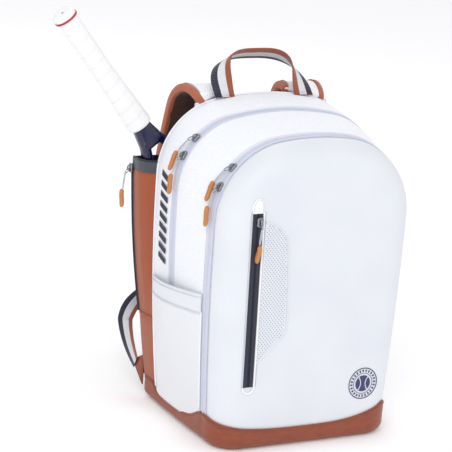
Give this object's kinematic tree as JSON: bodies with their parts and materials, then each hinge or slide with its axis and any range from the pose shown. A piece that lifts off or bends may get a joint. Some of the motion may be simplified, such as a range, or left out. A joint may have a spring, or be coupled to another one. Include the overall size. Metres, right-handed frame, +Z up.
{
  "type": "racket backpack",
  "caption": "Backpack with moulded front panel, zipped compartments, side pockets, padded straps and a slanting racket in its rear sleeve.",
  "frame": {"origin": "centre of the base's underside", "axes": "+Z up, front panel faces -Y, +X to the viewer's right"},
  "size_m": [0.5174, 0.3379, 0.6173],
  "materials": {
    "white_shell": "fine-grained coated fabric",
    "white_mesh": "perforated",
    "brown_leather": "pebbled, semi-matt",
    "brown_fabric": "smooth coated weave",
    "dark_lining": "matt weave",
    "black_lining": "matt",
    "zip_tape": "woven tape with a coil",
    "navy_tape": "woven tape",
    "nickel": "bright plated",
    "cord": "flat braided cord",
    "tan_grip": "moulded",
    "webbing": "navy, white and brown stripes",
    "black_plastic": "moulded",
    "board": "plain",
    "racket_paint": "gloss navy",
    "strings": "woven strings",
    "overgrip": "wound tape",
    "butt": "white with a coloured rim"
  },
  "bodies": {
    "bag": {"base_shell": "brown_leather", "base_board": "board", "rear_gusset": "white_shell", "sleeve_divider": "black_lining", "laptop_sleeve": "black_lining", "rear_zip_tape_aft": "zip_tape", "racket_sleeve": "brown_fabric", "sleeve_collar": "black_lining", "sleeve_zip_tape": "navy_tape", "back_panel": "black_lining", "back_pads": "black_lining", "strap_yoke": "white_shell", "strap_tab_left": "brown_leather", "strap_tab_right": "brown_leather", "webbing_left": "webbing", "webbing_right": "webbing", "side_pocket_left": "white_mesh", "side_pocket_right": "white_mesh"},
    "mid_section": {"mid_gusset": "white_shell", "mid_divider": "black_lining", "front_zip_tape_aft": "zip_tape", "rear_zip_tape_fore": "zip_tape"},
    "front_flap": {"front_panel": "white_shell", "front_lining": "black_lining", "front_zip_tape_fore": "zip_tape", "pocket_zip_tape": "navy_tape", "zip_garage": "white_shell", "accent_mesh": "white_mesh", "emblem": "navy_tape"},
    "sleeve_side": {"sleeve_flap": "brown_fabric", "collar_side": "black_lining"},
    "racket": {"racket_frame": "racket_paint", "string_bed": "strings", "overgrip": "overgrip", "butt_cap": "butt"},
    "handle": {"carry_handle": "webbing"},
    "strap_left": {"strap_pad_left": "white_mesh", "strap_lining_left": "dark_lining"},
    "buckle_left": {"ladder_lock_left": "black_plastic"},
    "strap_right": {"strap_pad_right": "white_mesh", "strap_lining_right": "dark_lining"},
    "buckle_right": {"ladder_lock_right": "black_plastic"},
    "front_zip_upper_slider": {"front_zip_upper_slider": "nickel"},
    "front_zip_upper_pull": {"front_zip_upper_cord": "cord", "front_zip_upper_grip": "tan_grip"},
    "front_zip_lower_slider": {"front_zip_lower_slider": "nickel"},
    "front_zip_lower_pull": {"front_zip_lower_cord": "cord", "front_zip_lower_grip": "tan_grip"},
    "rear_zip_upper_slider": {"rear_zip_upper_slider": "nickel"},
    "rear_zip_upper_pull": {"rear_zip_upper_cord": "cord", "rear_zip_upper_grip": "tan_grip"},
    "rear_zip_lower_slider": {"rear_zip_lower_slider": "nickel"},
    "rear_zip_lower_pull": {"rear_zip_lower_cord": "cord", "rear_zip_lower_grip": "tan_grip"},
    "pocket_slider": {"pocket_slider": "nickel"},
    "pocket_pull": {"pocket_cord": "cord", "pocket_grip": "tan_grip"},
    "sleeve_slider": {"sleeve_slider": "nickel"},
    "sleeve_pull": {"sleeve_cord": "cord", "sleeve_grip": "tan_grip"}
  },
  "joints": [
    {"name": "mid_section_tilt", "type": "hinge", "parent": "bag", "child": "mid_section", "pos_m": [0, -0.127, 0.03], "axis": [1, 0, 0], "range_deg": [0, 12]},
    {"name": "front_flap_open", "type": "hinge", "parent": "mid_section", "child": "front_flap", "pos_m": [0, -0.127, 0.03], "axis": [1, 0, 0], "range_deg": [0, 90]},
    {"name": "racket_slide", "type": "slide", "parent": "bag", "child": "racket", "axis": [-0.6198, 0, 0.7848], "range_m": [0, 0.165], "deforming": ["sleeve_flap", "collar_side"]},
    {"name": "sleeve_side_open", "type": "hinge", "parent": "bag", "child": "sleeve_side", "pos_m": [-0.158, 0.0855, 0.14], "axis": [-0.0369, 0, 0.9993], "range_deg": [0, 105]},
    {"name": "handle_swing", "type": "hinge", "parent": "bag", "child": "handle", "pos_m": [0, 0.08, 0.481], "axis": [1, 0, 0], "range_deg": [-20, 80]},
    {"name": "strap_left_swing", "type": "hinge", "parent": "bag", "child": "strap_left", "pos_m": [-0.075, 0.0945, 0.478], "axis": [1, 0, 0], "range_deg": [0, 18], "deforming": ["webbing_left"]},
    {"name": "buckle_left_swing", "type": "hinge", "parent": "strap_left", "child": "buckle_left", "pos_m": [-0.112, 0.17095, 0.18772], "axis": [1, 0, 0], "range_deg": [-25, 25]},
    {"name": "strap_right_swing", "type": "hinge", "parent": "bag", "child": "strap_right", "pos_m": [0.075, 0.0945, 0.478], "axis": [1, 0, 0], "range_deg": [0, 18], "deforming": ["webbing_right"]},
    {"name": "buckle_right_swing", "type": "hinge", "parent": "strap_right", "child": "buckle_right", "pos_m": [0.112, 0.17095, 0.18772], "axis": [1, 0, 0], "range_deg": [-25, 25]},
    {"name": "front_zip_upper_run", "type": "hinge", "parent": "mid_section", "child": "front_zip_upper_slider", "pos_m": [-0.04, -0.077, 0.33717], "axis": [0, 1, 0], "range_deg": [0, 37]},
    {"name": "front_zip_lower_run", "type": "hinge", "parent": "mid_section", "child": "front_zip_lower_slider", "pos_m": [-0.04, -0.077, 0.33717], "axis": [0, 1, 0], "range_deg": [-14, 0]},
    {"name": "rear_zip_upper_run", "type": "hinge", "parent": "bag", "child": "rear_zip_upper_slider", "pos_m": [-0.065, 0.019, 0.36178], "axis": [0, 1, 0], "range_deg": [0, 34]},
    {"name": "rear_zip_lower_run", "type": "hinge", "parent": "bag", "child": "rear_zip_lower_slider", "pos_m": [-0.065, 0.019, 0.36178], "axis": [0, 1, 0], "range_deg": [-14, 0]},
    {"name": "pocket_zip_run", "type": "slide", "parent": "front_flap", "child": "pocket_slider", "axis": [0, 0, -1], "range_m": [0, 0.23]},
    {"name": "sleeve_zip_run", "type": "slide", "parent": "bag", "child": "sleeve_slider", "axis": [0.1087, 0, -0.9941], "range_m": [0, 0.21]},
    {"name": "front_zip_upper_pull_swing", "type": "hinge", "parent": "front_zip_upper_slider", "child": "front_zip_upper_pull", "pos_m": [-0.13953, -0.077, 0.41493], "axis": [0, 1, 0], "range_deg": [0, 100]},
    {"name": "front_zip_lower_pull_swing", "type": "hinge", "parent": "front_zip_lower_slider", "child": "front_zip_lower_pull", "pos_m": [-0.1571, -0.077, 0.38448], "axis": [0, 1, 0], "range_deg": [0, 100]},
    {"name": "rear_zip_upper_pull_swing", "type": "hinge", "parent": "rear_zip_upper_slider", "child": "rear_zip_upper_pull", "pos_m": [-0.15126, 0.019, 0.43676], "axis": [0, 1, 0], "range_deg": [0, 100]},
    {"name": "rear_zip_lower_pull_swing", "type": "hinge", "parent": "rear_zip_lower_slider", "child": "rear_zip_lower_pull", "pos_m": [-0.16942, 0.019, 0.40826], "axis": [0, 1, 0], "range_deg": [0, 100]},
    {"name": "pocket_pull_swing", "type": "hinge", "parent": "pocket_slider", "child": "pocket_pull", "pos_m": [-0.107, -0.138, 0.344], "axis": [-1, 0, 0], "range_deg": [0, 100]},
    {"name": "sleeve_pull_swing", "type": "hinge", "parent": "sleeve_slider", "child": "sleeve_pull", "pos_m": [-0.20031, 0.12575, 0.363], "axis": [0, 1, 0], "range_deg": [0, 100]}
  ],
  "couplings": [
    {"joint": "sleeve_side_open", "follows": "racket_slide", "rad_per_m": 10.5}
  ]
}
